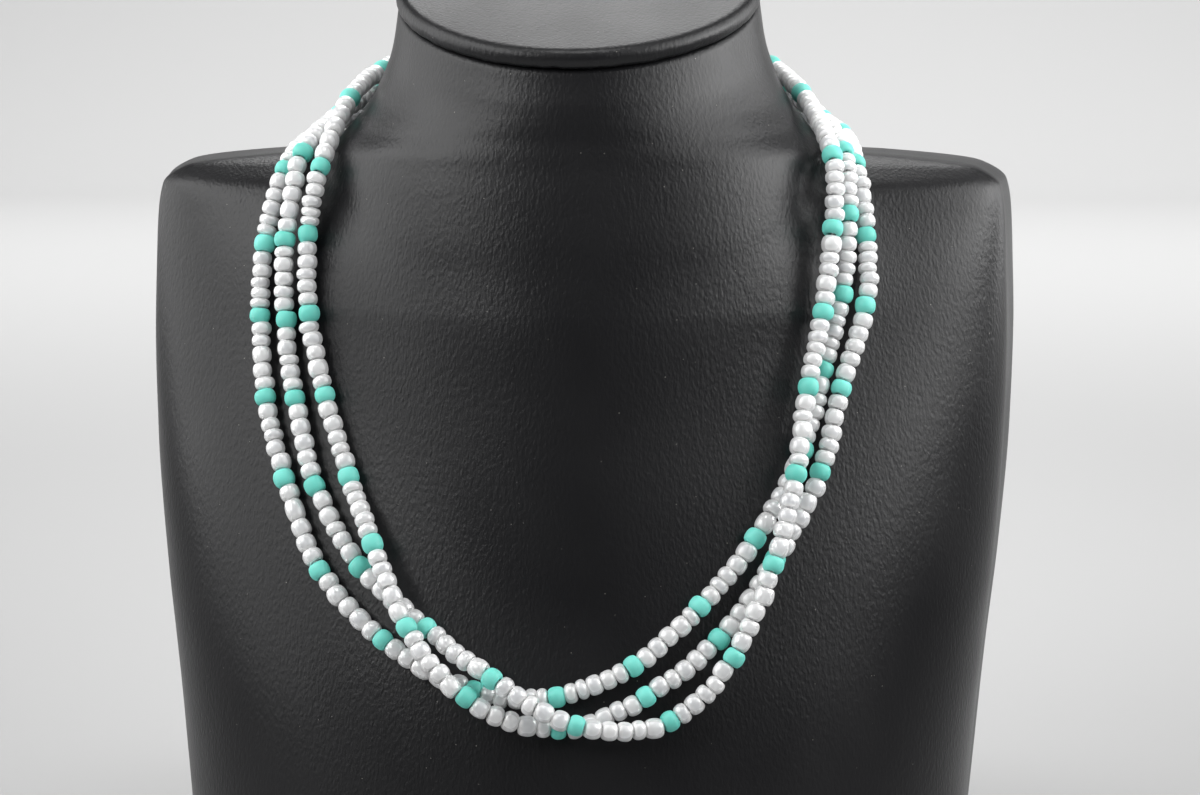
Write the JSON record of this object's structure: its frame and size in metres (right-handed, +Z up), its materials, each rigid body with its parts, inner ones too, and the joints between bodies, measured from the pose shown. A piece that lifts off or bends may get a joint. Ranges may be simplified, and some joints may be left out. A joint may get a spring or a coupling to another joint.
{
  "type": "three-strand bead necklace on a neck bust",
  "caption": "Three-strand seed bead necklace in pearl white and turquoise, worn by a plain black leatherette neck bust with a slanted padded neck cap.",
  "frame": {"origin": "centre of the bust's base, on the surface it stands on", "axes": "+Z up, -Y is the way the chest faces, +X to the wearer's left"},
  "size_m": [0.179, 0.1077, 0.2052],
  "materials": {
    "black_leatherette": "semi-gloss, fine embossed grain",
    "glass_beads": "pearl lustre glass, with opaque turquoise every sixth bead",
    "plated_metal": "polished silver plate"
  },
  "bodies": {
    "root": {"bust_form": "black_leatherette", "neck_cap": "black_leatherette", "strand_outer": "glass_beads", "strand_middle": "glass_beads", "strand_inner": "glass_beads", "clasp": "plated_metal"}
  },
  "joints": []
}
